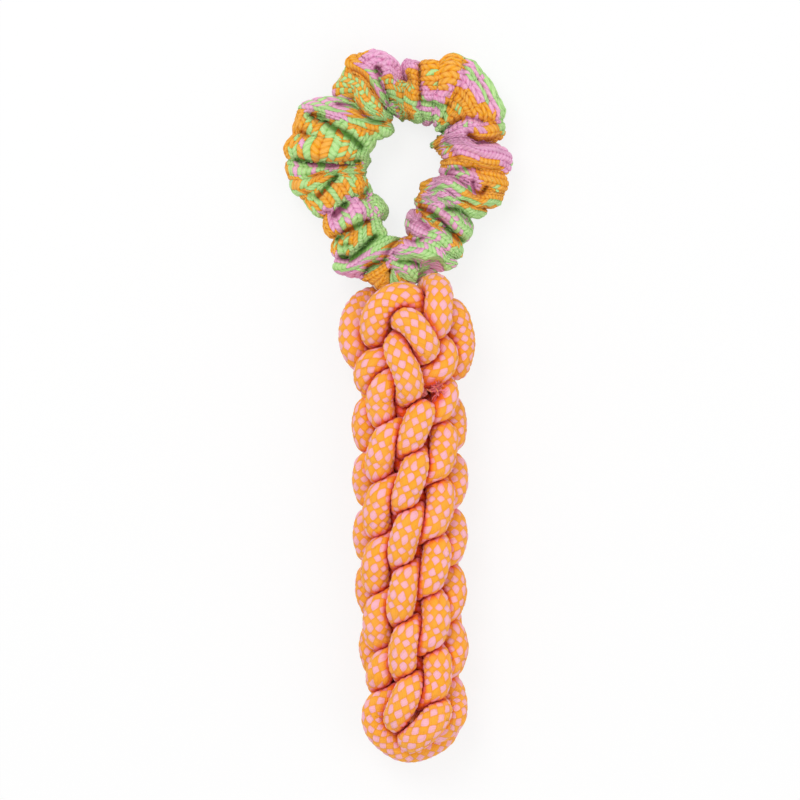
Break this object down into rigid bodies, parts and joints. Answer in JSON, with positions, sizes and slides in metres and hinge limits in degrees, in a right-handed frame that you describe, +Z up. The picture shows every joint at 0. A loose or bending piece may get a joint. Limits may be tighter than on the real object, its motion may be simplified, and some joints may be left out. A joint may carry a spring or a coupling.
{
  "type": "rope dog toy",
  "caption": "Plaited rope stick for a dog to chew and tug, with a soft gathered fabric ring at its head for the hand.",
  "frame": {"origin": "middle of the toy's box, on the surface that the toy lies on", "axes": "+Y along the stick towards the ring, +X across the toy to the right as it is seen from above, +Z up from the surface"},
  "size_m": [0.0902, 0.2996, 0.0503],
  "materials": {
    "cord": "matte",
    "loose_yarn": "matte",
    "sleeve": "matte",
    "elastic": "satin",
    "thread": "matte"
  },
  "bodies": {
    "stick": {"plait_cord_1": "cord", "plait_cord_2": "cord", "core_cord": "cord", "lower_whipping": "thread", "frayed_end": "loose_yarn"},
    "lashing": {"ring_lashing": "thread"},
    "ring": {"ring_sleeve": "sleeve", "ring_elastic": "elastic", "elastic_join": "thread"}
  },
  "joints": [
    {"name": "ring_sway", "type": "hinge", "parent": "stick", "child": "lashing", "pos_m": [-0.00262, 0.05054, 0.022], "axis": [0, 0, 1], "range_deg": [-5, 5]},
    {"name": "ring_swing", "type": "hinge", "parent": "lashing", "child": "ring", "pos_m": [-0.00262, 0.05054, 0.022], "axis": [1, 0, 0], "range_deg": [-12, 28]}
  ]
}
